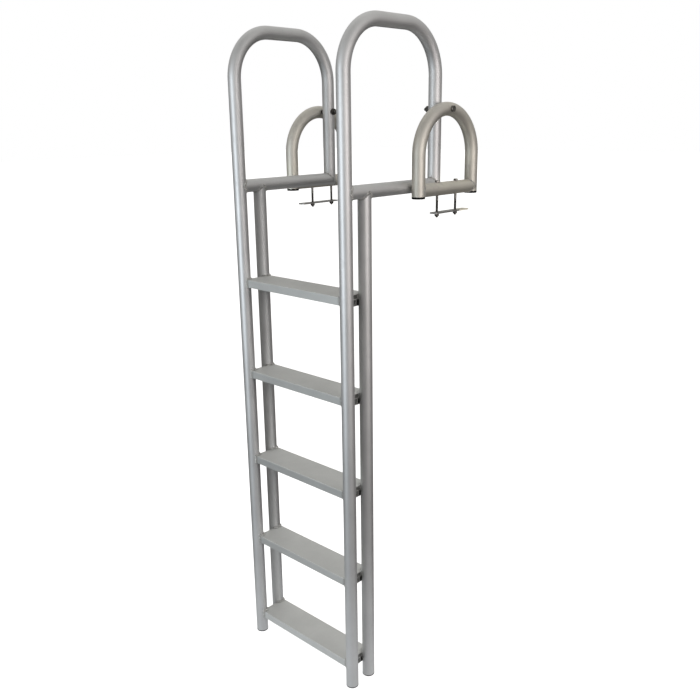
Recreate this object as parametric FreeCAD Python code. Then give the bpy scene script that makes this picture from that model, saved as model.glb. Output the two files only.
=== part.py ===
import FreeCAD, Part
import math
import os

from FreeCAD import Vector

# Boarding ladder for a dock, in millimetres.
# X runs across the ladder, +Y from the water towards the dock, +Z up.
# The pieces are laid out from the feet and the middle of the ladder, then moved so that the
# origin lies on the lower face of the front leg cap of the right-hand dock bracket.

# tube and side frames
tube_diameter = 40.0
tube_wall = 2.5
weld_gap = 0.15
rail_spacing = 450.0
rear_rail_setback = 79.4
handle_depth = 400.0
handle_bend_radius = 140.0

# heights above the feet
tread_pitch = 304.8
tread_count = 5
lowest_tread = 84.5
arm_above_top_tread = 291.5
handle_above_arm = 455.0
pivot_above_arm = 221.8
deck_below_arm = 33.2

# extruded tread: a low nosing in front, a deeper box behind it, ends notched round the rails
tread_depth = 101.6
tread_front = -7.0
tread_notch_depth = 7.0
tread_skin = 2.0
tread_edge_radius = 2.0
nosing_height = 25.0
box_height = 36.0
box_front_setback = 42.0
box_rib_setback = 60.0
web_depth = 14.0
cell_count = 3
lip_length = 7.0

# foot plugs and leg caps
plug_rim = 3.5
cap_rim = 6.0
plug_fit = 0.3
plug_depth = 22.0
plug_edge_radius = 1.2

# dock brackets
bracket_clearance = 5.0
bracket_leg_spacing = 266.0
crossbar_above_deck = 3.0
clamp_opening = 46.0

# clamp plate and its bolts
plate_length = 172.0
plate_width = 28.0
plate_thickness = 4.0
plate_short_end = 21.0
plate_corner_radius = 6.0
clamp_bolt_spacing = 94.0
clamp_bolt_offset = 5.0
clamp_bolt_diameter = 7.94
clamp_hole_clearance = 0.4
clamp_head_flats = 12.7
clamp_head_height = 5.4
clamp_nut_height = 8.0
clamp_bolt_end = 4.0

# pivot bolts
pivot_diameter = 10.0
pivot_running_fit = 0.05
pivot_fixed_fit = 0.2
pivot_head_flats = 17.0
pivot_head_height = 6.4
pivot_nut_height = 8.4
pivot_bolt_end = 7.0
washer_diameter = 21.0
washer_thickness = 2.0
spacer_diameter = 18.0
seat_gap = 0.2

# dependent sizes
tube_radius = tube_diameter / 2
bore_radius = tube_radius - tube_wall
rail_x = rail_spacing / 2
tread_half_length = rail_x - tube_radius + tread_notch_depth
top_tread = lowest_tread + (tread_count - 1) * tread_pitch
arm_z = top_tread + arm_above_top_tread
handle_z = arm_z + handle_above_arm
pivot_z = arm_z + pivot_above_arm
deck_z = arm_z - deck_below_arm
bracket_x = rail_x + tube_diameter + bracket_clearance
bracket_bend_radius = bracket_leg_spacing / 2
bracket_front = handle_depth - bracket_bend_radius
bracket_rear = handle_depth + bracket_bend_radius
crossbar_z = deck_z + crossbar_above_deck + tube_radius
plate_top = deck_z - clamp_opening
clamp_middle = handle_depth + clamp_bolt_offset
clamp_bolt_places = [clamp_middle - clamp_bolt_spacing / 2, clamp_middle + clamp_bolt_spacing / 2]
origin = Vector(bracket_x, bracket_front, deck_z)

along_x = Vector(1, 0, 0)
along_y = Vector(0, 1, 0)
along_z = Vector(0, 0, 1)
sides = {"left": -1, "right": 1}


def save(shape, name):
    placed = shape.removeSplitter()
    placed.translate(origin * -1)
    placed.exportStep("parts/" + name + ".step")


def cylinder(radius, start, end):
    return Part.makeCylinder(radius, (end - start).Length, start, end - start)


def straight_tube(start, end):
    return cylinder(tube_radius, start, end).cut(cylinder(bore_radius, start, end))


def tube_bend(start, direction, centre, angle):
    # a bend in the plane of a side frame, turning from upwards to the dock side
    ring = Part.Face(Part.Wire(Part.makeCircle(tube_radius, start, direction)))
    bore = Part.Face(Part.Wire(Part.makeCircle(bore_radius, start, direction)))
    return ring.cut(bore).revolve(centre, along_x * -1, angle)


def joined(pieces):
    return pieces[0].multiFuse(pieces[1:]).removeSplitter()


def hexagon(flats, height, base, direction):
    corner_radius = flats / math.sqrt(3)
    corners = []
    for step in range(7):
        angle = math.radians(60 * step)
        corners.append(Vector(corner_radius * math.cos(angle), corner_radius * math.sin(angle), 0))
    prism = Part.Face(Part.makePolygon(corners)).extrude(Vector(0, 0, height))
    slope = (corner_radius - flats / 2) / math.sqrt(3)
    outline = [
        Vector(0, 0, 0),
        Vector(corner_radius, 0, 0),
        Vector(corner_radius, 0, height - slope),
        Vector(flats / 2, 0, height),
        Vector(0, 0, height),
        Vector(0, 0, 0),
    ]
    envelope = Part.Face(Part.makePolygon(outline)).revolve(Vector(0, 0, 0), along_z, 360)
    head = prism.common(envelope)
    head.Placement = FreeCAD.Placement(base, FreeCAD.Rotation(along_z, direction))
    return head


def handle_rail(x):
    low = Vector(x, 0, plug_rim)
    bend_z = handle_z - handle_bend_radius
    front_bend = Vector(x, 0, bend_z)
    top_front = Vector(x, handle_bend_radius, handle_z)
    top_rear = Vector(x, handle_depth - handle_bend_radius, handle_z)
    rear_bend = Vector(x, handle_depth, bend_z)
    leg_end = Vector(x, handle_depth, arm_z - tube_diameter)
    front_centre = Vector(x, handle_bend_radius, bend_z)
    rear_centre = Vector(x, handle_depth - handle_bend_radius, bend_z)
    rail = joined([
        straight_tube(low, front_bend),
        tube_bend(front_bend, along_z, front_centre, 90),
        straight_tube(top_front, top_rear),
        tube_bend(top_rear, along_y, rear_centre, 90),
        straight_tube(rear_bend, leg_end),
    ])
    hole_radius = pivot_diameter / 2 + pivot_running_fit
    pivot = Vector(x, handle_depth, pivot_z)
    pivot_hole = cylinder(hole_radius, pivot - along_x * tube_diameter, pivot + along_x * tube_diameter)
    return rail.cut(mitre_block(x, -1)).cut(pivot_hole)


def mitre_block(x, side):
    # what lies below (-1) or above (1) the sloping joint between the arm and the handle's leg
    corner = Vector(x, handle_depth, arm_z - side * weld_gap / 2)
    size = 4 * tube_diameter
    block = Part.makeBox(size, size, size, Vector(-size / 2, -size / 2, 0 if side > 0 else -size))
    block.rotate(Vector(0, 0, 0), along_x, -45)
    block.translate(corner)
    return block


def arm(x):
    start = Vector(x, 0, arm_z)
    end = Vector(x, handle_depth + 2 * tube_radius, arm_z)
    tube = straight_tube(start, end)
    front_rail = cylinder(tube_radius + weld_gap, Vector(x, 0, 0), Vector(x, 0, handle_z - handle_bend_radius))
    return tube.cut(front_rail).cut(mitre_block(x, 1))


def rear_rail(x):
    start = Vector(x, rear_rail_setback, plug_rim)
    end = Vector(x, rear_rail_setback, arm_z)
    arm_skin = cylinder(tube_radius + weld_gap, Vector(x, 0, arm_z), Vector(x, handle_depth, arm_z))
    return straight_tube(start, end).cut(arm_skin)


def tread_bar(y_low, y_high, z_low, z_high):
    corner = Vector(-tread_half_length, y_low, z_low)
    return Part.makeBox(2 * tread_half_length, y_high - y_low, z_high - z_low, corner)


def tread(top):
    rear = tread_front + tread_depth
    inner_front = tread_front + tread_skin
    inner_rear = rear - tread_skin
    walls = [tread_front + box_front_setback, tread_front + box_rib_setback]
    nosing_base = top - nosing_height
    box_base = top - box_height
    body = tread_bar(tread_front, rear, nosing_base, top)
    body = body.fuse(tread_bar(walls[0], rear, box_base, nosing_base + tread_skin)).removeSplitter()
    upper_edges = []
    for edge in body.Edges:
        centre = edge.CenterOfMass
        on_top = abs(centre.z - top) < 0.01
        if on_top and abs(centre.x) < 0.01:
            upper_edges.append(edge)
    body = body.makeFillet(tread_edge_radius, upper_edges)
    web_top = top - web_depth
    web_base = web_top - tread_skin
    cell_width = (inner_rear - inner_front - (cell_count - 1) * tread_skin) / cell_count
    for index in range(cell_count):
        cell_front = inner_front + index * (cell_width + tread_skin)
        body = body.cut(tread_bar(cell_front, cell_front + cell_width, web_top, top - tread_skin))
    for wall, next_wall in zip(walls, walls[1:] + [inner_rear]):
        body = body.cut(tread_bar(wall + tread_skin, next_wall, box_base + tread_skin, web_base))
    body = body.cut(tread_bar(inner_front, walls[0], nosing_base + tread_skin, web_base))
    body = body.cut(tread_bar(inner_front + lip_length, walls[0], nosing_base, nosing_base + tread_skin))
    for x in (-rail_x, rail_x):
        for y in (0, rear_rail_setback):
            low = Vector(x, y, box_base - tube_diameter)
            body = body.cut(cylinder(tube_radius + weld_gap, low, Vector(x, y, top + tube_diameter)))
    return body


def plug(x, y, base, rim):
    rim_disc = cylinder(tube_radius, Vector(x, y, base), Vector(x, y, base + rim))
    lower_edges = [edge for edge in rim_disc.Edges if abs(edge.CenterOfMass.z - base) < 0.01 and edge.Closed]
    rim_disc = rim_disc.makeFillet(plug_edge_radius, lower_edges)
    spigot_radius = bore_radius - plug_fit
    spigot_top = Vector(x, y, base + rim + plug_depth)
    spigot = cylinder(spigot_radius, Vector(x, y, base + rim), spigot_top)
    hollow = cylinder(spigot_radius - tube_wall, Vector(x, y, base + rim), spigot_top)
    return rim_disc.fuse(spigot.cut(hollow))


def arch(x):
    leg_base = deck_z + cap_rim
    bend_z = pivot_z - bracket_bend_radius
    front_low = Vector(x, bracket_front, leg_base)
    front_bend = Vector(x, bracket_front, bend_z)
    rear_bend = Vector(x, bracket_rear, bend_z)
    rear_low = Vector(x, bracket_rear, leg_base)
    crown = Vector(x, handle_depth, pivot_z)
    tube = joined([
        straight_tube(front_low, front_bend),
        tube_bend(front_bend, along_z, Vector(x, handle_depth, bend_z), 180),
        straight_tube(rear_bend, rear_low),
    ])
    hole_radius = pivot_diameter / 2 + pivot_fixed_fit
    return tube.cut(cylinder(hole_radius, crown - along_x * tube_diameter, crown + along_x * tube_diameter))


def crossbar(x):
    tube = straight_tube(Vector(x, bracket_front, crossbar_z), Vector(x, bracket_rear, crossbar_z))
    for y in (bracket_front, bracket_rear):
        leg = cylinder(tube_radius + weld_gap, Vector(x, y, deck_z), Vector(x, y, pivot_z))
        tube = tube.cut(leg)
    for y in clamp_bolt_places:
        tube = tube.cut(clamp_hole(x, y, deck_z, crossbar_z + tube_diameter))
    return tube


def clamp_hole(x, y, low, high):
    radius = clamp_bolt_diameter / 2 + clamp_hole_clearance
    return cylinder(radius, Vector(x, y, low), Vector(x, y, high))


def clamp_plate(x, side):
    # the long end points to the dock on the right and to the water on the left
    short_end = clamp_middle - side * (clamp_bolt_spacing / 2 + plate_short_end)
    long_end = short_end + side * plate_length
    low_y = min(short_end, long_end)
    corner = Vector(x - plate_width / 2, low_y, plate_top - plate_thickness)
    plate = Part.makeBox(plate_width, plate_length, plate_thickness, corner)
    upright = [edge for edge in plate.Edges if edge.BoundBox.ZLength > plate_thickness / 2]
    plate = plate.makeFillet(plate_corner_radius, upright)
    for y in clamp_bolt_places:
        plate = plate.cut(clamp_hole(x, y, plate_top - 2 * plate_thickness, plate_top + plate_thickness))
    return plate


def clamp_bolts(x):
    head_base = crossbar_z + tube_radius
    low = plate_top - plate_thickness - clamp_nut_height - clamp_bolt_end
    bolts = []
    for y in clamp_bolt_places:
        shank = cylinder(clamp_bolt_diameter / 2, Vector(x, y, low), Vector(x, y, head_base))
        tip = [edge for edge in shank.Edges if edge.Closed and abs(edge.CenterOfMass.z - low) < 0.01]
        shank = shank.makeChamfer(clamp_bolt_diameter / 10, tip)
        head = hexagon(clamp_head_flats, clamp_head_height, Vector(x, y, head_base), along_z)
        bolts.append(shank.fuse(head))
    return Part.Compound(bolts)


def clamp_nuts(x):
    nut_top = plate_top - plate_thickness
    nuts = []
    for y in clamp_bolt_places:
        nut = hexagon(clamp_head_flats, clamp_nut_height, Vector(x, y, nut_top), along_z * -1)
        nuts.append(nut.cut(clamp_hole(x, y, nut_top - 2 * clamp_nut_height, nut_top + clamp_nut_height)))
    return Part.Compound(nuts)


def pivot_point(side, distance):
    return Vector(side * distance, handle_depth, pivot_z)


def pivot_bolt(side):
    head_seat = bracket_x + tube_radius + seat_gap
    tip = inner_seat() - washer_thickness - pivot_nut_height - pivot_bolt_end
    shank = cylinder(pivot_diameter / 2, pivot_point(side, tip), pivot_point(side, head_seat))
    inner_end = [
        edge for edge in shank.Edges
        if edge.Closed and abs(edge.CenterOfMass.x - side * tip) < 0.01
    ]
    shank = shank.makeChamfer(pivot_diameter / 10, inner_end)
    head = hexagon(pivot_head_flats, pivot_head_height, pivot_point(side, head_seat), along_x * side)
    return shank.fuse(head)


def inner_seat():
    return rail_x - tube_radius - seat_gap


def ring(side, near, far, outer_radius):
    start = pivot_point(side, near)
    end = pivot_point(side, far)
    bore = cylinder(pivot_diameter / 2 + pivot_fixed_fit, start, end)
    return cylinder(outer_radius, start, end).cut(bore)


def pivot_washer(side):
    return ring(side, inner_seat() - washer_thickness, inner_seat(), washer_diameter / 2)


def pivot_nut(side):
    seat = inner_seat() - washer_thickness
    nut = hexagon(pivot_head_flats, pivot_nut_height, pivot_point(side, seat), along_x * -side)
    bore = cylinder(
        pivot_diameter / 2 + pivot_fixed_fit,
        pivot_point(side, seat - 2 * pivot_nut_height),
        pivot_point(side, seat + pivot_nut_height),
    )
    return nut.cut(bore)


def pivot_spacer(side):
    inner = rail_x + tube_radius + seat_gap
    outer = bracket_x - tube_radius - seat_gap
    return ring(side, inner, outer, spacer_diameter / 2)


os.makedirs("parts", exist_ok=True)

for name, side in sides.items():
    ladder_x = side * rail_x
    dock_x = side * bracket_x
    save(handle_rail(ladder_x), "rail_" + name)
    save(arm(ladder_x), "arm_" + name)
    save(rear_rail(ladder_x), "rear_rail_" + name)
    save(plug(ladder_x, 0, 0, plug_rim), "front_foot_" + name)
    save(plug(ladder_x, rear_rail_setback, 0, plug_rim), "rear_foot_" + name)
    save(arch(dock_x), "arch_" + name)
    save(crossbar(dock_x), "crossbar_" + name)
    save(plug(dock_x, bracket_front, deck_z, cap_rim), "front_cap_" + name)
    save(plug(dock_x, bracket_rear, deck_z, cap_rim), "rear_cap_" + name)
    save(clamp_plate(dock_x, side), "clamp_plate_" + name)
    save(clamp_bolts(dock_x), "clamp_bolts_" + name)
    save(clamp_nuts(dock_x), "clamp_nuts_" + name)
    save(pivot_bolt(side), "pivot_bolt_" + name)
    save(pivot_washer(side), "pivot_washer_" + name)
    save(pivot_nut(side), "pivot_nut_" + name)
    save(pivot_spacer(side), "pivot_spacer_" + name)

for number in range(tread_count):
    save(tread(lowest_tread + number * tread_pitch), "tread_" + str(number + 1))
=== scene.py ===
import math
import random

import bmesh
import bpy
from mathutils import Matrix, Vector


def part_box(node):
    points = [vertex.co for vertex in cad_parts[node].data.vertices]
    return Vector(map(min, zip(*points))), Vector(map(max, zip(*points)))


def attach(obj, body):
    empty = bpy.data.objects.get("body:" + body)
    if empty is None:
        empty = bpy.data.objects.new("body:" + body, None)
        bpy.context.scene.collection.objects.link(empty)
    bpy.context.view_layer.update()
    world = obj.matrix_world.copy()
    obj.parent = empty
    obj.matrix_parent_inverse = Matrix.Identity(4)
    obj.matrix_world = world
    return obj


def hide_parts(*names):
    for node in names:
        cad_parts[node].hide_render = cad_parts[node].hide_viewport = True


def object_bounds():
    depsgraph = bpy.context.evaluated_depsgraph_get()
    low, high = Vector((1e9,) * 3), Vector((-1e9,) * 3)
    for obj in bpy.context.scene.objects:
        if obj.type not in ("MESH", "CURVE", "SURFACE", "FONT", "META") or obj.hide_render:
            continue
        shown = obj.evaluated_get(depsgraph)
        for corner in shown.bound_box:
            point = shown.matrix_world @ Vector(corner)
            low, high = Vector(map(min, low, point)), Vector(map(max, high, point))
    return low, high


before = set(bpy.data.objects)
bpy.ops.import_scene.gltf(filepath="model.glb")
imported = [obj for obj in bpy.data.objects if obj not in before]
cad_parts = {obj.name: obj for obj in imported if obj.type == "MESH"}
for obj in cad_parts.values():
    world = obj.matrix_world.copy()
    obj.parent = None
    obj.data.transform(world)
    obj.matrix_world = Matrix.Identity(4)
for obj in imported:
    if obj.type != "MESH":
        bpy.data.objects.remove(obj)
cadBox = [list(corner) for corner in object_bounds()]
print("frame loaded:", len(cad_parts), "nodes")

alongX = Vector((1, 0, 0))
alongY = Vector((0, 1, 0))
alongZ = Vector((0, 0, 1))
sides = {"left": -1, "right": 1}


# one socket of a node tree, with the arithmetic that the finishes use
class Wire:
    def __init__(self, graph, socket):
        self.graph = graph
        self.socket = socket

    def math(self, operation, first, second, clamp=False):
        settings = {"operation": operation, "use_clamp": clamp}
        return self.graph.node("ShaderNodeMath", settings, {0: first, 1: second})

    def __add__(self, other):
        return self.math("ADD", self, other)

    def __radd__(self, other):
        return self.math("ADD", other, self)

    def __sub__(self, other):
        return self.math("SUBTRACT", self, other)

    def __rsub__(self, other):
        return self.math("SUBTRACT", other, self)

    def __mul__(self, other):
        return self.math("MULTIPLY", self, other)

    def between(self, low, high):
        # 0 below low, 1 above high, straight in between
        return self.math("MULTIPLY", self - low, 1 / (high - low), clamp=True)


class Graph:
    def __init__(self, tree):
        self.tree = tree
        tree.nodes.clear()

    def node(self, kind, settings=None, values=None, output=0):
        made = self.tree.nodes.new(kind)
        for name, value in (settings or {}).items():
            if name == "stops":
                self.setStops(made.color_ramp, value)
            else:
                setattr(made, name, value)
        for name, value in (values or {}).items():
            if isinstance(value, Wire):
                self.tree.links.new(value.socket, made.inputs[name])
            else:
                made.inputs[name].default_value = value
        return Wire(self, made.outputs[output]) if made.outputs else made

    def setStops(self, ramp, stops):
        for place, (position, grey) in enumerate(stops):
            stop = ramp.elements[place] if place < 2 else ramp.elements.new(position)
            stop.position = position
            stop.color = (grey, grey, grey, 1)

    def ramp(self, value, stops):
        return self.node("ShaderNodeValToRGB", {"stops": stops}, {0: value})

    def coordinates(self, kind):
        return self.node("ShaderNodeTexCoord", output=kind)

    def stretched(self, vector, scale):
        return self.node("ShaderNodeMapping", {}, {"Vector": vector, "Scale": scale})

    def noise(self, vector, scale, detail=3.0, roughness=0.5):
        values = {"Vector": vector, "Scale": scale, "Detail": detail, "Roughness": roughness}
        return self.node("ShaderNodeTexNoise", {}, values)

    def mixColour(self, factor, first, second, blend="MIX"):
        first, second = [(*tone, 1) if isinstance(tone, tuple) else tone for tone in (first, second)]
        settings = {"data_type": "RGBA", "blend_type": blend}
        return self.node("ShaderNodeMix", settings, {0: factor, 6: first, 7: second}, output=2)


class Finish(Graph):
    def __init__(self, name):
        self.material = bpy.data.materials.new(name)
        self.material.use_nodes = True
        super().__init__(self.material.node_tree)

    def place(self):
        return self.coordinates("Object")

    def onTube(self):
        # the surface's own place on the tube as it was before bending
        return self.node("ShaderNodeAttribute", {"attribute_name": "onTube"}, output="Vector")

    def bump(self, height, look):
        values = {"Height": height, "Strength": look["bump"], "Distance": look["bumpDepth"]}
        return self.node("ShaderNodeBump", {}, values)

    def surface(self, values):
        shader = self.node("ShaderNodeBsdfPrincipled", {}, values)
        self.node("ShaderNodeOutputMaterial", {}, {"Surface": shader})
        return self.material


# in every look, an edge is where a pattern starts to show and where it shows in full, and
# roughChange is what each pattern adds to the roughness, with the last one taken off again
def tubeFinish(name, look):
    finish = Finish(name)
    tubePlace = finish.onTube()
    place = finish.place()
    drawn = finish.noise(finish.stretched(tubePlace, (1, 1, look["streakStretch"])), **look["streaks"])
    hairs = finish.noise(finish.stretched(tubePlace, (1, 1, look["hairStretch"])), **look["hairs"])
    clouds = finish.noise(place, **look["clouds"])
    grain = finish.noise(place, **look["grain"])
    rubbed = finish.noise(place, **look["rubs"]).between(*look["rubEdge"])
    tone = finish.mixColour(clouds.between(*look["cloudEdge"]), look["dark"], look["light"])
    tone = finish.mixColour(rubbed * look["rubShare"], tone, look["rubbed"])
    byStreaks, byClouds, byRubs, less = look["roughChange"]
    roughness = look["roughness"] + drawn * byStreaks + clouds * byClouds + rubbed * byRubs - less
    streakShare, hairShare, grainShare = look["bumpShares"]
    return finish.surface({
        "Base Color": tone,
        "Metallic": 1.0,
        "Roughness": roughness,
        "Normal": finish.bump(drawn * streakShare + hairs * hairShare + grain * grainShare, look),
    })


def aroundRails(finish, place, look):
    # 1 on the welds round the four rails, where weld soot and painted contact shade darken the tread,
    # fading to 0 on the tread
    frontLow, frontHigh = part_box("front_foot_right")
    rearLow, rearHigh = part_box("rear_foot_right")
    treadLow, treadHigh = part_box("tread_1")
    front, rear = (frontLow + frontHigh) / 2, (rearLow + rearHigh) / 2
    middle = Vector(((treadLow.x + treadHigh.x) / 2, (front.y + rear.y) / 2, 0))
    corner = Vector((front.x - middle.x, (rear.y - front.y) / 2, 0))
    centred = finish.node("ShaderNodeVectorMath", {"operation": "SUBTRACT"}, {0: place, 1: middle})
    folded = finish.node("ShaderNodeVectorMath", {"operation": "ABSOLUTE"}, {0: centred})
    level = finish.node("ShaderNodeVectorMath", {"operation": "MULTIPLY"}, {0: folded, 1: (1, 1, 0)})
    settings = {"operation": "DISTANCE"}
    distance = finish.node("ShaderNodeVectorMath", settings, {0: level, 1: corner}, output="Value")
    uneven = finish.noise(place, **look["sootAndShadeNoise"]) * look["sootAndShadeUneven"]
    return 1 - (distance + uneven).between(*look["sootAndShadeEdge"])


def extrudedFinish(name, look):
    finish = Finish(name)
    place = finish.place()
    drawn = finish.noise(finish.stretched(place, (look["streakStretch"], 1, 1)), **look["streaks"])
    clouds = finish.noise(place, **look["clouds"])
    grain = finish.noise(place, **look["grain"])
    scuffs = finish.noise(finish.stretched(place, (1, look["scuffStretch"], 1)), **look["scuffs"])
    scuffs = scuffs.between(*look["scuffEdge"])
    tone = finish.mixColour(clouds.between(*look["cloudEdge"]), look["dark"], look["light"])
    tone = finish.mixColour(scuffs * look["scuffShare"], tone, look["scuffed"])
    metallic = look["metallic"]
    # weld soot and painted contact shade: the tread is darker round the rails, where shade falls
    # between the tread and the rails
    if "sootAndContactShade" in look:
        sootAndShadeMask = aroundRails(finish, place, look) * look["sootAndShadeShare"]
        tone = finish.mixColour(sootAndShadeMask, tone, look["sootAndContactShade"])
    if "paintedGlare" in look:
        # painted glare: the dock-side end of the right-hand plate, which is overexposed, is painted
        # pale cream and made less metallic
        across = finish.node("ShaderNodeSeparateXYZ", {}, {0: place}, output=0)
        along = finish.node("ShaderNodeSeparateXYZ", {}, {0: place}, output=1)
        # pale is the mask of the painted glare
        pale = along.between(*look["paintedGlareAlong"]) * across.between(*look["paintedGlareAcross"])
        tone = finish.mixColour(pale, tone, look["paintedGlare"])
        metallic = (1 - pale) * metallic
    byStreaks, byGrain, byScuffs, less = look["roughChange"]
    roughness = look["roughness"] + drawn * byStreaks + grain * byGrain - scuffs * byScuffs - less
    streakShare, grainShare = look["bumpShares"]
    return finish.surface({
        "Base Color": tone,
        "Metallic": metallic,
        "Roughness": roughness,
        "Normal": finish.bump(drawn * streakShare + grain * grainShare, look),
    })


def weldFinish(name, look):
    finish = Finish(name)
    place = finish.place()
    clouds = finish.noise(place, **look["clouds"])
    grain = finish.noise(place, **look["grain"])
    byGrain, less = look["roughChange"]
    return finish.surface({
        "Base Color": finish.mixColour(clouds.between(*look["cloudEdge"]), look["dark"], look["light"]),
        "Metallic": 1.0,
        "Roughness": look["roughness"] + grain * byGrain - less,
        "Normal": finish.bump(grain, look),
    })


def plasticFinish(name, look):
    finish = Finish(name)
    place = finish.place()
    leather = finish.noise(place, **look["leather"])
    dust = finish.noise(place, **look["dust"]).between(*look["dustEdge"])
    byDust, byLeather = look["roughChange"]
    return finish.surface({
        "Base Color": finish.mixColour(dust * look["dustShare"], look["dark"], look["dusty"]),
        "Metallic": 0.0,
        "Roughness": look["roughness"] + dust * byDust + leather * byLeather,
        "Specular IOR Level": look["shine"],
        "Normal": finish.bump(leather, look),
    })


def steelFinish(name, look):
    finish = Finish(name)
    place = finish.place()
    tarnish = finish.noise(place, **look["tarnish"]).between(*look["tarnishEdge"])
    grain = finish.noise(place, **look["grain"])
    byTarnish, byGrain, less = look["roughChange"]
    return finish.surface({
        "Base Color": finish.mixColour(tarnish, look["light"], look["dark"]),
        "Metallic": 1.0,
        "Roughness": look["roughness"] + tarnish * byTarnish + grain * byGrain - less,
        "Normal": finish.bump(grain, look),
    })


railLook = {
    "dark": (0.68, 0.685, 0.69),
    "light": (0.77, 0.775, 0.78),
    "rubbed": (0.61, 0.615, 0.62),
    "rubShare": 0.3,
    "roughness": 0.60,
    "roughChange": (0.05, 0.05, 0.04, 0.06),
    "streaks": {"scale": 260.0, "detail": 4.0, "roughness": 0.6},
    "streakStretch": 0.012,
    "hairs": {"scale": 1040.0, "detail": 2.0},
    "hairStretch": 0.02,
    "clouds": {"scale": 7.0, "detail": 4.0, "roughness": 0.55},
    "cloudEdge": (0.3, 0.7),
    "grain": {"scale": 1600.0, "detail": 2.0},
    "rubs": {"scale": 34.0, "detail": 6.0, "roughness": 0.7},
    "rubEdge": (0.56, 0.72),
    "bump": 0.035,
    "bumpDepth": 0.0004,
    "bumpShares": (0.5, 0.2, 0.3),
}
bracketLook = {
    **railLook,
    "dark": (0.68, 0.66, 0.62),
    "light": (0.80, 0.78, 0.70),
    "rubbed": (0.60, 0.565, 0.555),
    "rubShare": 0.5,
    "roughness": 0.62,
    "rubs": {"scale": 16.0, "detail": 6.0, "roughness": 0.7},
}
extrudedLook = {
    "roughChange": (0.06, 0.05, 0.06, 0.05),
    "streaks": {"scale": 380.0, "detail": 3.0},
    "streakStretch": 0.012,
    "cloudEdge": (0.25, 0.75),
    "grain": {"scale": 1300.0, "detail": 2.0},
    "scuffStretch": 0.35,
    "scuffEdge": (0.57, 0.72),
    "bump": 0.16,
    "bumpDepth": 0.0004,
    "bumpShares": (0.35, 0.65),
}
treadLook = {
    **extrudedLook,
    "dark": (0.69, 0.70, 0.69),
    "light": (0.77, 0.78, 0.77),
    "scuffed": (0.82, 0.82, 0.81),
    "scuffShare": 0.3,
    "metallic": 0.88,
    "roughness": 0.55,
    "clouds": {"scale": 12.0, "detail": 5.0, "roughness": 0.6},
    "scuffs": {"scale": 40.0, "detail": 6.0, "roughness": 0.75},
    # weld soot and painted contact shade round the rails
    "sootAndContactShade": (0.26, 0.255, 0.24),
    "sootAndShadeShare": 0.6,
    "sootAndShadeNoise": {"scale": 120.0, "detail": 3.0},
    "sootAndShadeUneven": 0.010,
    "sootAndShadeEdge": (0.026, 0.037),
}
plateLook = {
    **extrudedLook,
    "dark": (0.40, 0.40, 0.39),
    "light": (0.50, 0.50, 0.49),
    "scuffed": (0.62, 0.62, 0.60),
    "scuffShare": 0.4,
    "metallic": 0.8,
    "roughness": 0.42,
    "clouds": {"scale": 30.0, "detail": 5.0, "roughness": 0.6},
    "scuffs": {"scale": 60.0, "detail": 6.0, "roughness": 0.75},
    # painted glare on the dock-side end of the right-hand plate
    "paintedGlare": (0.95, 0.92, 0.78),
    "paintedGlareAlong": (0.186, 0.192),
    "paintedGlareAcross": (-0.20, -0.10),
}
weldLook = {
    "dark": (0.42, 0.42, 0.41),
    "light": (0.64, 0.64, 0.62),
    "roughness": 0.55,
    "roughChange": (0.12, 0.06),
    "clouds": {"scale": 140.0, "detail": 4.0},
    "cloudEdge": (0.35, 0.65),
    "grain": {"scale": 900.0, "detail": 3.0},
    "bump": 0.2,
    "bumpDepth": 0.0004,
}
plugLook = {
    "dark": (0.010, 0.010, 0.011),
    "dusty": (0.03, 0.03, 0.03),
    "dustShare": 0.5,
    "roughness": 0.55,
    "roughChange": (0.15, 0.08),
    "shine": 0.15,
    "leather": {"scale": 1500.0, "detail": 3.0, "roughness": 0.6},
    "dust": {"scale": 60.0, "detail": 5.0, "roughness": 0.65},
    "dustEdge": (0.5, 0.75),
    "bump": 0.25,
    "bumpDepth": 0.0003,
}
boltLook = {
    "light": (0.28, 0.27, 0.255),
    "dark": (0.10, 0.096, 0.09),
    "roughness": 0.40,
    "roughChange": (0.15, 0.08, 0.04),
    "tarnish": {"scale": 90.0, "detail": 5.0, "roughness": 0.6},
    "tarnishEdge": (0.35, 0.7),
    "grain": {"scale": 1800.0, "detail": 2.0},
    "bump": 0.15,
    "bumpDepth": 0.0003,
}
nutLook = {
    **boltLook,
    "light": (0.10, 0.096, 0.09),
    "dark": (0.04, 0.038, 0.035),
    "roughness": 0.45,
}

railMetal = tubeFinish("satinRailMetal", railLook)
bracketMetal = tubeFinish("satinBracketMetal", bracketLook)
treadMetal = extrudedFinish("mattTreadMetal", treadLook)
plateMetal = extrudedFinish("millPlateMetal", plateLook)
weldMetal = weldFinish("weldMetal", weldLook)
plugPlastic = plasticFinish("blackPlugPlastic", plugLook)
boltSteel = steelFinish("boltSteel", boltLook)
nutSteel = steelFinish("nutSteel", nutLook)
print("finishes made")


def finished(name, bm, body, material):
    mesh = bpy.data.meshes.new(name)
    bm.to_mesh(mesh)
    bm.free()
    mesh.materials.append(material)
    piece = bpy.data.objects.new(name, mesh)
    bpy.context.scene.collection.objects.link(piece)
    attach(piece, body)
    return piece


tube = {
    "wall": 0.0025,
    "ringSides": 72,
    "bendSteps": 26,
    "rimBevel": 0.0005,
    "rimSteps": 2,
    "joiningGap": 0.001,
}
lowCorner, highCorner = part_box("rear_rail_right")
tubeRadius = (highCorner.x - lowCorner.x) / 2


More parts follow.
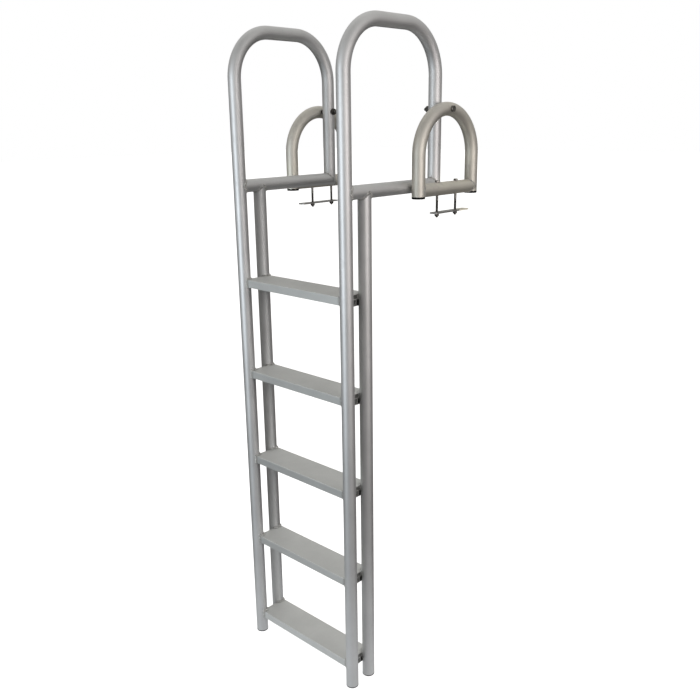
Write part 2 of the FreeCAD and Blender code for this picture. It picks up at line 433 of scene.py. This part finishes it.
# a hollow tube grown ring by ring, with its unbent place kept on every vertex
class TubeBuilder:
    def __init__(self, start, direction):
        self.bm = bmesh.new()
        self.layer = self.bm.verts.layers.float_vector.new("onTube")
        self.shapes = {}
        self.skins = []
        turn = direction.to_track_quat("Z", "Y").to_matrix().to_4x4()
        for radius in (tubeRadius, tubeRadius - tube["wall"]):
            ring = bmesh.ops.create_circle(
                self.bm, cap_ends=False, segments=tube["ringSides"], radius=radius,
                matrix=Matrix.Translation(start) @ turn,
            )["verts"]
            for vertex in ring:
                offset = turn.inverted() @ (vertex.co - start)
                vertex[self.layer] = Vector((offset.x, offset.y, 0))
            edges = list({edge for vertex in ring for edge in vertex.link_edges})
            self.skins.append({"first": edges, "last": edges})

    def grow(self, matrix, length):
        for skin in self.skins:
            grown = bmesh.ops.extrude_edge_only(self.bm, edges=skin["last"])["geom"]
            vertices = {part for part in grown if isinstance(part, bmesh.types.BMVert)}
            bmesh.ops.transform(self.bm, matrix=matrix, verts=list(vertices))
            for vertex in vertices:
                vertex[self.layer] = vertex[self.layer] + Vector((0, 0, length))
            skin["last"] = [
                part for part in grown
                if isinstance(part, bmesh.types.BMEdge) and vertices.issuperset(part.verts)
            ]

    def straight(self, run):
        self.grow(Matrix.Translation(run), run.length)

    def bend(self, centre, angle, radius):
        # in the plane of a side frame, turning from upwards to the dock side
        steps = round(tube["bendSteps"] * angle / (math.pi / 2))
        turn = Matrix.Rotation(angle / steps, 4, -alongX)
        matrix = Matrix.Translation(centre) @ turn @ Matrix.Translation(-centre)
        for _ in range(steps):
            self.grow(matrix, radius * angle / steps)

    def shapeEnd(self, end, moved):
        self.shapes[end] = moved

    def cut(self, edges, moved):
        for vertex in {vertex for edge in edges for vertex in edge.verts}:
            target = moved(vertex.co)
            shift = (target - vertex.co).length
            vertex[self.layer] = vertex[self.layer] + Vector((0, 0, shift))
            vertex.co = target

    def close(self, bevelled=()):
        # an end is joined while it is a plain circle, and cut to its saddle or mitre after that;
        # two rings in one plane would be joined crosswise, so the inner one is moved off and back
        rims = []
        apart = (alongY + alongZ) * tube["joiningGap"]
        for end in ("first", "last"):
            edges = self.skins[0][end] + self.skins[1][end]
            inner = list({vertex for edge in self.skins[1][end] for vertex in edge.verts})
            bmesh.ops.translate(self.bm, verts=inner, vec=apart)
            bmesh.ops.bridge_loops(self.bm, edges=edges)
            bmesh.ops.translate(self.bm, verts=inner, vec=-apart)
            for edge in edges:
                edge.smooth = False
            if end in bevelled:
                rims += self.skins[0][end]
            if end in self.shapes:
                self.cut(edges, self.shapes[end])
        for face in self.bm.faces:
            face.smooth = True
        bmesh.ops.recalc_face_normals(self.bm, faces=self.bm.faces)
        if rims:
            bmesh.ops.bevel(
                self.bm, geom=rims, offset=tube["rimBevel"], segments=tube["rimSteps"], profile=0.5,
                affect="EDGES", material=-1,
            )
            bmesh.ops.recalc_face_normals(self.bm, faces=self.bm.faces)
        return self.bm


def saddle(mainPoint, mainAxis, branchAxis):
    # where a branch tube's wall meets the skin of the tube that it stands on
    across = mainAxis.cross(branchAxis)

    def moved(point):
        offset = point - mainPoint
        reach = math.sqrt(max(tubeRadius ** 2 - offset.dot(across) ** 2, 0))
        return point + branchAxis * (reach - offset.dot(branchAxis))

    return moved


def mitre(corner, normal, axis):
    def moved(point):
        return point - axis * ((point - corner).dot(normal) / axis.dot(normal))

    return moved


weld = {
    "pitch": 0.0024,
    "length": 0.0021,
    "height": 0.0027,
    "width": 0.0040,
    "lift": 0.0006,
    "uneven": 0.10,
    "roundness": 2,
    "fineSteps": 480,
    "seed": 11,
}
weldChance = random.Random(weld["seed"])


def spread(points, pitch):
    # points at an even pitch along a fine row of (place, outward) pairs
    chosen = [points[0]]
    walked = 0.0
    for before, after in zip(points, points[1:]):
        walked += (after[0] - before[0]).length
        if walked >= pitch:
            chosen.append(after)
            walked = 0.0
    return chosen


def addBead(bm, points, size=1.0):
    row = spread(points, weld["pitch"] * math.sqrt(size))
    for place, (centre, outward) in enumerate(row):
        ahead = row[min(place + 1, len(row) - 1)][0]
        behind = row[max(place - 1, 0)][0]
        forward = (ahead - behind).normalized()
        outward = (outward - forward * outward.dot(forward)).normalized()
        sideways = forward.cross(outward)
        scales = [
            amount * size * (1 + weld["uneven"] * weldChance.uniform(-1, 1))
            for amount in (weld["length"], weld["height"], weld["width"])
        ]
        axes = Matrix((forward * scales[0], outward * scales[1], sideways * scales[2])).transposed()
        matrix = Matrix.Translation(centre + outward * weld["lift"] * size) @ axes.to_4x4()
        bmesh.ops.create_icosphere(bm, subdivisions=weld["roundness"], radius=1.0, matrix=matrix)


def saddlePath(centre, mainAxis, branchAxis):
    across = mainAxis.cross(branchAxis)
    path = []
    for step in range(weld["fineSteps"] + 1):
        angle = 2 * math.pi * step / weld["fineSteps"]
        along, aside = math.cos(angle), math.sin(angle)
        place = mainAxis * along + across * aside + branchAxis * abs(along)
        outward = mainAxis * along + branchAxis * abs(along) + across * aside * 2
        path.append((centre + place * tubeRadius, outward.normalized()))
    return path


def mitrePath(corner, legAxis, armAxis, sideAxis):
    path = []
    for step in range(weld["fineSteps"] + 1):
        angle = 2 * math.pi * step / weld["fineSteps"]
        aside, back = math.cos(angle), math.sin(angle)
        place = sideAxis * aside + armAxis * back - legAxis * back
        outward = sideAxis * aside * 2 + armAxis * back - legAxis * back
        path.append((corner + place * tubeRadius, outward.normalized()))
    return path


sideFrame = {"handleBend": 0.140, "mitreBead": 0.8}
for name in sides:
    railLow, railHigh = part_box("rail_" + name)
    armLow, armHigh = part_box("arm_" + name)
    rearLow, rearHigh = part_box("rear_rail_" + name)
    x = (railLow.x + railHigh.x) / 2
    frontY = railLow.y + tubeRadius
    legY = railHigh.y - tubeRadius
    topZ = railHigh.z - tubeRadius
    armZ = (armLow.z + armHigh.z) / 2
    rearY = (rearLow.y + rearHigh.y) / 2
    bendRadius = sideFrame["handleBend"]
    bendZ = topZ - bendRadius

    rail = TubeBuilder(Vector((x, frontY, railLow.z)), alongZ)
    rail.straight(alongZ * (bendZ - railLow.z))
    rail.bend(Vector((x, frontY + bendRadius, bendZ)), math.pi / 2, bendRadius)
    rail.straight(alongY * (legY - frontY - 2 * bendRadius))
    rail.bend(Vector((x, legY - bendRadius, bendZ)), math.pi / 2, bendRadius)
    rail.straight(alongZ * (armZ - bendZ))
    corner = Vector((x, legY, armZ))
    rail.shapeEnd("last", mitre(corner, alongY + alongZ, alongZ))
    piece = finished("handle_rail_" + name, rail.close(["first"]), "ladder", railMetal)
    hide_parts("rail_" + name)

    arm = TubeBuilder(Vector((x, frontY, armZ)), alongY)
    arm.straight(alongY * (legY - frontY))
    arm.shapeEnd("first", saddle(Vector((x, frontY, armZ)), alongZ, alongY))
    arm.shapeEnd("last", mitre(corner, alongY + alongZ, alongY))
    piece = finished("deck_arm_" + name, arm.close(), "ladder", railMetal)
    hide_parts("arm_" + name)

    rear = TubeBuilder(Vector((x, rearY, rearLow.z)), alongZ)
    rear.straight(alongZ * (armZ - rearLow.z))
    rear.shapeEnd("last", saddle(Vector((x, rearY, armZ)), alongY, -alongZ))
    piece = finished("rear_tube_" + name, rear.close(["first"]), "ladder", railMetal)
    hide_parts("rear_rail_" + name)

    beads = bmesh.new()
    addBead(beads, saddlePath(Vector((x, frontY, armZ)), alongZ, alongY))
    addBead(beads, saddlePath(Vector((x, rearY, armZ)), alongY, -alongZ))
    addBead(beads, mitrePath(corner, alongZ, alongY, alongX), sideFrame["mitreBead"])
    finished("frame_welds_" + name, beads, "ladder", weldMetal)
print("side frames made")


dockBracket = {"bead": 0.65}
for name in sides:
    archLow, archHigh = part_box("arch_" + name)
    barLow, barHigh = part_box("crossbar_" + name)
    x = (archLow.x + archHigh.x) / 2
    frontY = archLow.y + tubeRadius
    rearY = archHigh.y - tubeRadius
    bendRadius = (rearY - frontY) / 2
    bendZ = archHigh.z - tubeRadius - bendRadius
    barZ = (barLow.z + barHigh.z) / 2

    arch = TubeBuilder(Vector((x, frontY, archLow.z)), alongZ)
    arch.straight(alongZ * (bendZ - archLow.z))
    arch.bend(Vector((x, frontY + bendRadius, bendZ)), math.pi, bendRadius)
    arch.straight(alongZ * (archLow.z - bendZ))
    bm = arch.close(["first", "last"])
    piece = finished("bracket_arch_" + name, bm, "dock_brackets", bracketMetal)
    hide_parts("arch_" + name)

    bar = TubeBuilder(Vector((x, frontY, barZ)), alongY)
    bar.straight(alongY * (rearY - frontY))
    bar.shapeEnd("first", saddle(Vector((x, frontY, barZ)), alongZ, alongY))
    bar.shapeEnd("last", saddle(Vector((x, rearY, barZ)), alongZ, -alongY))
    piece = finished("bracket_bar_" + name, bar.close(), "dock_brackets", bracketMetal)
    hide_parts("crossbar_" + name)

    beads = bmesh.new()
    addBead(beads, saddlePath(Vector((x, frontY, barZ)), alongZ, alongY), dockBracket["bead"])
    addBead(beads, saddlePath(Vector((x, rearY, barZ)), alongZ, -alongY), dockBracket["bead"])
    finished("bracket_welds_" + name, beads, "dock_brackets", weldMetal)
print("dock brackets made")


# the welds that hold a tread to the rails, round each notch's upper edge and down its two corners
treadWeld = {
    "treads": 5,
    "steps": 60,
    "topSize": 1.3,
    "front": {"size": 0.95, "drop": 0.025},
    "inner": {"size": 0.8, "drop": 0.013},
    "rear": {"size": 1.1, "drop": 0.034},
}


def addTreadWelds(bm, axis, side, corners, treadTop):
    # a corner is where the notch ends: its angle round the rail, and the way the tread's face runs on
    angles = [corner["angle"] for corner in corners]
    seam = []
    for step in range(treadWeld["steps"] + 1):
        angle = angles[0] + (angles[1] - angles[0]) * step / treadWeld["steps"]
        away = Vector((-side * math.cos(angle), math.sin(angle), 0))
        seam.append((Vector((axis[0], axis[1], treadTop)) + away * tubeRadius, away + alongZ))
    addBead(bm, seam, treadWeld["topSize"])
    for corner, turned, (place, _) in zip(corners, (-1, 1), (seam[0], seam[-1])):
        angle = corner["angle"]
        tangent = Vector((side * math.sin(angle), math.cos(angle), 0)) * turned
        outward = tangent + corner["along"]
        line = []
        for step in range(treadWeld["steps"] + 1):
            line.append((place - alongZ * corner["drop"] * step / treadWeld["steps"], outward))
        addBead(bm, line, corner["size"])


for number in range(1, treadWeld["treads"] + 1):
    treadLow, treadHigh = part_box("tread_%d" % number)
    beads = bmesh.new()
    for name, side in sides.items():
        rearLow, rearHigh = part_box("rear_rail_" + name)
        railX = (rearLow.x + rearHigh.x) / 2
        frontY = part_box("rail_" + name)[0].y + tubeRadius
        rearY = (rearLow.y + rearHigh.y) / 2
        endX = treadHigh.x if side > 0 else treadLow.x
        endAngle = math.acos(abs(railX - endX) / tubeRadius)
        frontAngle = math.asin((treadLow.y - frontY) / tubeRadius)
        inwards = -alongX * side
        frontCorners = [
            dict(treadWeld["front"], angle=frontAngle, along=inwards),
            dict(treadWeld["inner"], angle=endAngle, along=alongY),
        ]
        rearCorners = [
            dict(treadWeld["inner"], angle=-endAngle, along=-alongY),
            dict(treadWeld["rear"], angle=endAngle, along=inwards),
        ]
        addTreadWelds(beads, (railX, frontY), side, frontCorners, treadHigh.z)
        addTreadWelds(beads, (railX, rearY), side, rearCorners, treadHigh.z)
    finished("tread_welds_%d" % number, beads, "ladder", weldMetal)
print("tread welds made")


clampBolt = {
    "radius": 0.00397,
    "flats": 0.0127,
    "head": 0.0054,
    "pitch": 0.00141,
    "depth": 0.0006,
    "threaded": 0.050,
}
pivotBolt = {
    "radius": 0.005,
    "flats": 0.017,
    "head": 0.0064,
    "pitch": 0.0015,
    "depth": 0.0006,
    "threaded": 0.012,
}
# chamferLean is the sine of the angle by which the head's corners are turned off
boltFine = {
    "turned": 24,
    "chamferCuts": 24,
    "chamferLean": 0.5,
    "cutMargin": 0.0000001,
    "sunk": 0.001,
    "merge": 0.00001,
}


def addBolt(bm, bolt, tip, seat):
    # a threaded shank from its tip to the head's seat, and a hexagon head with turned corners
    axis = (seat - tip).normalized()
    turn = axis.to_track_quat("Z", "Y").to_matrix().to_4x4()
    length = (seat - tip).length
    root = bolt["radius"] - bolt["depth"]
    profile = [(0, 0), (root, 0)]
    height = bolt["pitch"] / 2
    while height < bolt["threaded"]:
        profile += [(root, height), (bolt["radius"], height + bolt["pitch"] / 2)]
        height += bolt["pitch"]
    profile += [(bolt["radius"], length + boltFine["sunk"]), (0, length + boltFine["sunk"])]
    matrix = Matrix.Translation(tip) @ turn
    vertices = [bm.verts.new(matrix @ Vector((radius, 0, z))) for radius, z in profile]
    edges = [bm.edges.new(pair) for pair in zip(vertices, vertices[1:])]
    bmesh.ops.spin(
        bm, geom=vertices + edges, cent=tip, axis=axis, dvec=(0, 0, 0), angle=2 * math.pi,
        steps=boltFine["turned"], use_merge=True, use_normal_flip=False, use_duplicate=False,
    )
    corner = bolt["flats"] / math.sqrt(3)
    headTurn = turn @ Matrix.Rotation(math.pi / 2, 4, "Z")
    matrix = Matrix.Translation(seat + axis * bolt["head"] / 2) @ headTurn
    head = bmesh.ops.create_cone(
        bm, cap_ends=True, cap_tris=False, segments=6, radius1=corner, radius2=corner,
        depth=bolt["head"], matrix=matrix,
    )["verts"]
    faces = list({face for vertex in head for face in vertex.link_faces})
    edges = list({edge for vertex in head for edge in vertex.link_edges})
    top = seat + axis * bolt["head"]
    lean = boltFine["chamferLean"]
    for cut in range(boltFine["chamferCuts"]):
        around = 2 * math.pi * (cut + 0.5) / boltFine["chamferCuts"]
        away = (turn @ Vector((math.cos(around), math.sin(around), 0))).normalized()
        rim = top + away * bolt["flats"] / 2
        slope = (away * lean + axis * math.sqrt(1 - lean ** 2)).normalized()
        result = bmesh.ops.bisect_plane(
            bm, geom=head + edges + faces, dist=boltFine["cutMargin"], plane_co=rim, plane_no=slope,
            clear_outer=True,
        )
        rimEdges = [part for part in result["geom_cut"] if isinstance(part, bmesh.types.BMEdge)]
        if rimEdges:
            bmesh.ops.edgenet_fill(bm, edges=rimEdges)
        linked = {part for part in result["geom"] if part.is_valid}
        head = [part for part in linked if isinstance(part, bmesh.types.BMVert)]
        edges = list({edge for vertex in head for edge in vertex.link_edges})
        faces = list({face for vertex in head for face in vertex.link_faces})


for name, side in sides.items():
    boltLow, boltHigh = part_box("clamp_bolts_" + name)
    boltX = (boltLow.x + boltHigh.x) / 2
    halfFlats = clampBolt["flats"] / 2
    bm = bmesh.new()
    for y in (boltLow.y + halfFlats, boltHigh.y - halfFlats):
        seat = Vector((boltX, y, boltHigh.z - clampBolt["head"]))
        addBolt(bm, clampBolt, Vector((boltX, y, boltLow.z)), seat)
    bmesh.ops.remove_doubles(bm, verts=bm.verts, dist=boltFine["merge"])
    bmesh.ops.recalc_face_normals(bm, faces=bm.faces)
    piece = finished("clamp_screws_" + name, bm, "dock_brackets", boltSteel)
    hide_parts("clamp_bolts_" + name)

    boltLow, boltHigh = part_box("pivot_bolt_" + name)
    middle = (boltLow + boltHigh) / 2
    outer = boltHigh.x if side > 0 else boltLow.x
    inner = boltLow.x if side > 0 else boltHigh.x
    seat = Vector((outer - side * pivotBolt["head"], middle.y, middle.z))
    bm = bmesh.new()
    addBolt(bm, pivotBolt, Vector((inner, middle.y, middle.z)), seat)
    bmesh.ops.remove_doubles(bm, verts=bm.verts, dist=boltFine["merge"])
    bmesh.ops.recalc_face_normals(bm, faces=bm.faces)
    piece = finished("pivot_screw_" + name, bm, "dock_brackets", boltSteel)
    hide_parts("pivot_bolt_" + name)
print("bolts made")


nodeFinish = {
    "tread_": treadMetal,
    "clamp_plate_": plateMetal,
    "clamp_nuts_": nutSteel,
    "pivot_nut_": nutSteel,
    "pivot_washer_": boltSteel,
    "pivot_spacer_": plugPlastic,
    "front_foot_": plugPlastic,
    "rear_foot_": plugPlastic,
    "front_cap_": plugPlastic,
    "rear_cap_": plugPlastic,
}
for nodeName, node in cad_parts.items():
    for start, material in nodeFinish.items():
        if nodeName.startswith(start):
            node.data.materials.clear()
            node.data.materials.append(material)
print("finishes given")


# a white paper floor, which the metal doesn't mirror
floorLook = {
    "size": 40.0,
    "pale": (0.80, 0.80, 0.80),
    "paler": (0.83, 0.83, 0.83),
    "mottleScale": 3.0,
    "roughness": 0.9,
    "glow": 0.80,
}
bm = bmesh.new()
bmesh.ops.create_grid(
    bm, x_segments=1, y_segments=1, size=floorLook["size"],
    matrix=Matrix.Translation((0, 0, cadBox[0][2])),
)
floorMesh = bpy.data.meshes.new("studio_floor")
bm.to_mesh(floorMesh)
bm.free()
floorFinish = Finish("paleFloorPaper")
mottle = floorFinish.noise(floorFinish.place(), floorLook["mottleScale"])
floorMesh.materials.append(floorFinish.surface({
    "Base Color": floorFinish.mixColour(mottle, floorLook["pale"], floorLook["paler"]),
    "Roughness": floorLook["roughness"],
    "Emission Color": (1, 1, 1, 1),
    "Emission Strength": floorLook["glow"],
}))
floor = bpy.data.objects.new("studio_floor", floorMesh)
bpy.context.scene.collection.objects.link(floor)
floor.visible_glossy = False
floor.visible_diffuse = False
floor.visible_shadow = False

# the room's light by height, -1 straight down to 1 straight up, on the side away from the
# camera and on the near side, with the cosines to nearAzimuth between which they blend
room = {
    "heights": [-1, -0.8, -0.6, -0.25, -0.15, 0, 0.3, 1],
    "away": [0.40, 0.20, 0.05, 0.0, 0.05, 0.20, 0.40, 0.85],
    "near": [0.0, 0.0, 0.0, 0.05, 0.15, 0.35, 0.60, 0.20],
    "nearAzimuth": -60,
    "blend": (-0.4, 0.6),
    "tint": (1.0, 0.985, 0.95),
}

world = bpy.data.worlds.new("studioRoom")
world.use_nodes = True
sky = Graph(world.node_tree)
direction = sky.coordinates("Generated")
height = sky.node("ShaderNodeSeparateXYZ", {}, {0: direction}, output=2)
level = sky.node("ShaderNodeVectorMath", {"operation": "MULTIPLY"}, {0: direction, 1: (1, 1, 0)})
level = sky.node("ShaderNodeVectorMath", {"operation": "NORMALIZE"}, {0: level})


def facing(azimuth, cosLow, cosHigh):
    heading = (math.cos(math.radians(azimuth)), math.sin(math.radians(azimuth)), 0)
    values = {0: level, 1: heading}
    turned = sky.node("ShaderNodeVectorMath", {"operation": "DOT_PRODUCT"}, values, output="Value")
    settings = {"interpolation_type": "SMOOTHSTEP"}
    return sky.node("ShaderNodeMapRange", settings, {0: turned, 1: cosLow, 2: cosHigh})


def byHeight(greys):
    stops = [((place + 1) / 2, grey) for place, grey in zip(room["heights"], greys)]
    return sky.ramp((height + 1) * 0.5, stops)


nearness = facing(room["nearAzimuth"], *room["blend"])
light = sky.mixColour(nearness, byHeight(room["away"]), byHeight(room["near"]))
light = sky.mixColour(1.0, light, room["tint"], "MULTIPLY")
lit = sky.node("ShaderNodeBackground", {}, {"Color": light})
plain = sky.node("ShaderNodeBackground", {}, {"Color": (1, 1, 1, 1)})
seen = sky.node("ShaderNodeLightPath", output="Is Camera Ray")
mixed = sky.node("ShaderNodeMixShader", {}, {0: seen, 1: lit, 2: plain})
sky.node("ShaderNodeOutputWorld", {}, {"Surface": mixed})
bpy.context.scene.world = world


softBoxes = {
    "key_box": {
        "place": (-0.48, -4.04, -0.2), "target": (-0.27, -0.15, 0), "size": (0.8, 0.8),
        "power": 56, "colour": (0.92, 1.0, 1.06),
    },
    "side_box": {
        "place": (3.40, -0.55, 0.2), "target": (-0.27, -0.15, 0.2), "size": (1.6, 0.8),
        "power": 38, "colour": (1.06, 0.985, 0.96),
    },
    "foot_card": {
        "place": (-0.15, -0.35, -1.62), "target": (-0.15, -0.35, 0), "size": (1.5, 1.1),
        "power": 2.4, "colour": (0.98, 1.0, 1.02),
    },
}
for name, box in softBoxes.items():
    data = bpy.data.lights.new(name, "AREA")
    data.shape = "RECTANGLE"
    data.size, data.size_y = box["size"]
    data.energy = box["power"]
    data.color = box["colour"]
    lamp = bpy.data.objects.new(name, data)
    bpy.context.scene.collection.objects.link(lamp)
    lamp.location = box["place"]
    lamp.rotation_mode = "QUATERNION"
    beam = Vector(box["target"]) - Vector(box["place"])
    lamp.rotation_quaternion = beam.to_track_quat("-Z", "Y")
    lamp.visible_camera = False

# the camera stands where the photograph was taken from
view = {
    "azimuth": 43.237,
    "down": 16.175,
    "roll": -0.827,
    "focalPixels": 787.15,
    "imagePixels": 700,
    "sensorWidth": 36.0,
    "clipEnd": 100.0,
    "place": (1.4598, -1.8561, 0.2220),
}
turn = math.radians(view["azimuth"])
tilt = math.radians(view["down"])
roll = math.radians(view["roll"])
forward = Vector((-math.sin(turn) * math.cos(tilt), math.cos(turn) * math.cos(tilt), -math.sin(tilt)))
across = Vector((math.cos(turn), math.sin(turn), 0))
upright = across.cross(forward)
right = across * math.cos(roll) + upright * math.sin(roll)
up = upright * math.cos(roll) - across * math.sin(roll)
cameraData = bpy.data.cameras.new("camera")
cameraData.sensor_width = view["sensorWidth"]
cameraData.lens = view["focalPixels"] * view["sensorWidth"] / view["imagePixels"]
cameraData.clip_end = view["clipEnd"]
camera = bpy.data.objects.new("camera", cameraData)
bpy.context.scene.collection.objects.link(camera)
axes = Matrix((right, up, -forward)).transposed().to_4x4()
camera.matrix_world = Matrix.Translation(view["place"]) @ axes
bpy.context.scene.camera = camera
bpy.context.scene.view_settings.view_transform = "Standard"
print("studio made")
